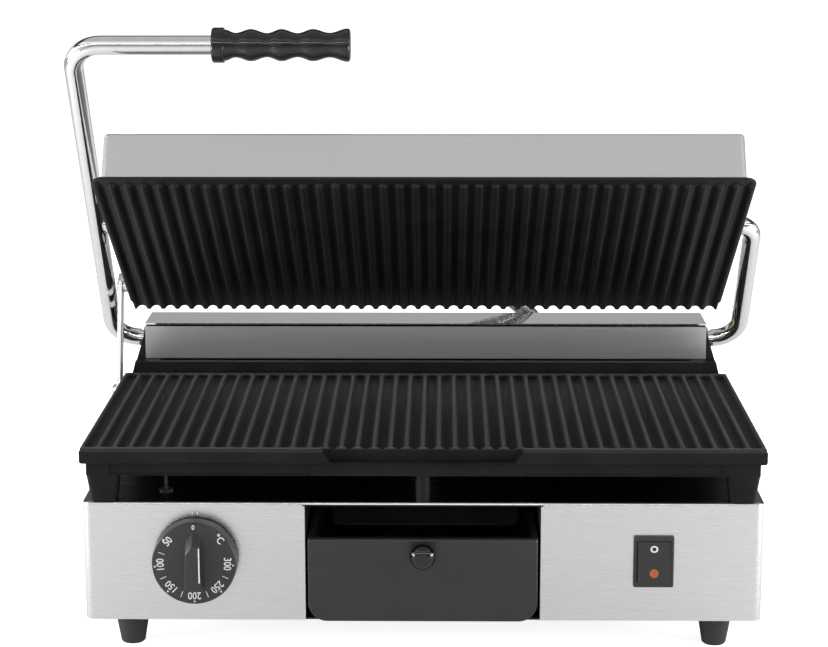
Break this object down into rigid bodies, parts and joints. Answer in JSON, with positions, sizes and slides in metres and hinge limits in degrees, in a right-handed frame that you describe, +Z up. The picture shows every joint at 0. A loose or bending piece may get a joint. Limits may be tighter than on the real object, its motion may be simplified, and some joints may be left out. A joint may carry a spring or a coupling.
{
  "type": "contact grill",
  "caption": "Large countertop contact grill with ribbed cast plates, a lid on a one-piece bail handle, a dial, a rocker switch and a drip drawer.",
  "frame": {"origin": "centre of the bounding box's bottom, which is also the centre of the four rubber feet, on the surface that the grill stands on", "axes": "+Z up, +X to the right of a cook who faces the grill, -Y towards the cook, so the front is -Y"},
  "size_m": [0.5212, 0.3438, 0.4367],
  "materials": {
    "ribbed_iron": "dark cooking surface, lightly oiled, fine cast grain",
    "black_casting": "black stove enamel on a casting",
    "brushed_steel": "fine lengthwise brushing",
    "polished_steel": "polished, mirrors what stands on it",
    "zinc_sheet": "plain zinc coated sheet",
    "black_enamel": "gloss black enamel",
    "bright_chrome": "polished bright bar",
    "black_plastic": "gloss moulded black",
    "switch_black": "moulded black with a white ring on the rocker",
    "lamp_red": "clear orange red lens, unlit",
    "soft_rubber": "matt black rubber",
    "plated_steel": "plain zinc plated steel",
    "spring_steel": "oiled dark spring wire",
    "bearing_bronze": "sintered bronze",
    "heater_sheath": "dull metal sheathed heater",
    "mineral_wool": "pressed mineral wool",
    "control_metal": "plain steel can and tube",
    "terminal_ceramic": "pale moulded block",
    "tab_brass": "plain brass tabs",
    "gland_black": "moulded black",
    "elbow_metal": "plated elbow fitting",
    "ribbed_hose": "ribbed plated steel hose"
  },
  "bodies": {
    "base": {"base_plate": "zinc_sheet", "bearing_caps": "plated_steel", "box_elbow": "elbow_metal", "cable_gland": "gland_black", "capillary": "control_metal", "conduit": "ribbed_hose", "counterbalance_spring": "spring_steel", "deck_grommet": "soft_rubber", "deck_strip": "black_enamel", "drawer_bay": "black_enamel", "foot_nuts": "plated_steel", "foot_screws": "plated_steel", "gland_nut": "gland_black", "hinge_bolts": "plated_steel", "hinge_bushes": "bearing_bronze", "hinge_casting": "black_casting", "hinge_cover_screws": "plated_steel", "hinge_face": "brushed_steel", "hinge_top": "polished_steel", "housing": "brushed_steel", "index_rivet": "plated_steel", "lead_tube": "control_metal", "lower_clamps": "zinc_sheet", "lower_element": "heater_sheath", "lower_plate": "ribbed_iron", "lower_shield": "zinc_sheet", "plate_bolts": "plated_steel", "rubber_feet": "soft_rubber", "stay_bolt": "bright_chrome", "stay_washer": "plated_steel", "switch_body": "switch_black", "switch_tabs": "tab_brass", "terminal_block": "terminal_ceramic", "thermostat_body": "control_metal"},
    "drawer": {"drawer_tray": "black_enamel", "drawer_front": "black_enamel", "drawer_knob": "black_plastic", "drawer_knob_screw": "plated_steel"},
    "dial": {"dial_knob": "black_plastic", "dial_shaft": "plated_steel"},
    "switch_rocker": {"rocker": "switch_black", "switch_lamp": "lamp_red"},
    "arm": {"bail": "bright_chrome", "grip": "black_plastic", "pivot_pin": "bright_chrome", "pivot_washer": "plated_steel", "pivot_sleeve": "bearing_bronze", "spring_collar": "plated_steel"},
    "lid": {"upper_plate": "ribbed_iron", "lid_cover": "brushed_steel", "upper_element": "heater_sheath", "upper_clamps": "zinc_sheet", "lid_insulation": "mineral_wool", "ear_left": "black_casting", "ear_right": "black_casting", "ear_screws": "plated_steel", "stay_pin": "plated_steel", "lid_elbow": "elbow_metal"},
    "stay": {"stay_strap": "bright_chrome"}
  },
  "joints": [
    {"name": "arm_hinge", "type": "hinge", "parent": "base", "child": "arm", "pos_m": [0, 0.113, 0.1727], "axis": [1, 0, 0], "range_deg": [0, 49.98], "stiffness_Nm_per_rad": 6, "springref_deg": -68.75, "deforming": ["counterbalance_spring", "conduit"]},
    {"name": "lid_pivot", "type": "hinge", "parent": "arm", "child": "lid", "pos_m": [0, 0.04457, 0.27767], "axis": [1, 0, 0], "range_deg": [-15, 0], "deforming": ["conduit"]},
    {"name": "stay_hinge", "type": "hinge", "parent": "base", "child": "stay", "pos_m": [-0.243, 0.0605, 0.14175], "axis": [1, 0, 0], "range_deg": [0, 31]},
    {"name": "drawer_slide", "type": "slide", "parent": "base", "child": "drawer", "axis": [0, -1, 0], "range_m": [0, 0.15]},
    {"name": "dial_turn", "type": "hinge", "parent": "base", "child": "dial", "pos_m": [-0.1606, -0.15, 0.071], "axis": [0, 1, 0], "range_deg": [0, 268]},
    {"name": "rocker_press", "type": "hinge", "parent": "base", "child": "switch_rocker", "pos_m": [0.163, -0.148, 0.0695], "axis": [1, 0, 0], "range_deg": [0, 16]}
  ],
  "couplings": [
    {"joint": "lid_pivot", "follows": "arm_hinge", "ratio": -0.29969},
    {"joint": "stay_hinge", "follows": "arm_hinge", "ratio": 0.61267}
  ]
}
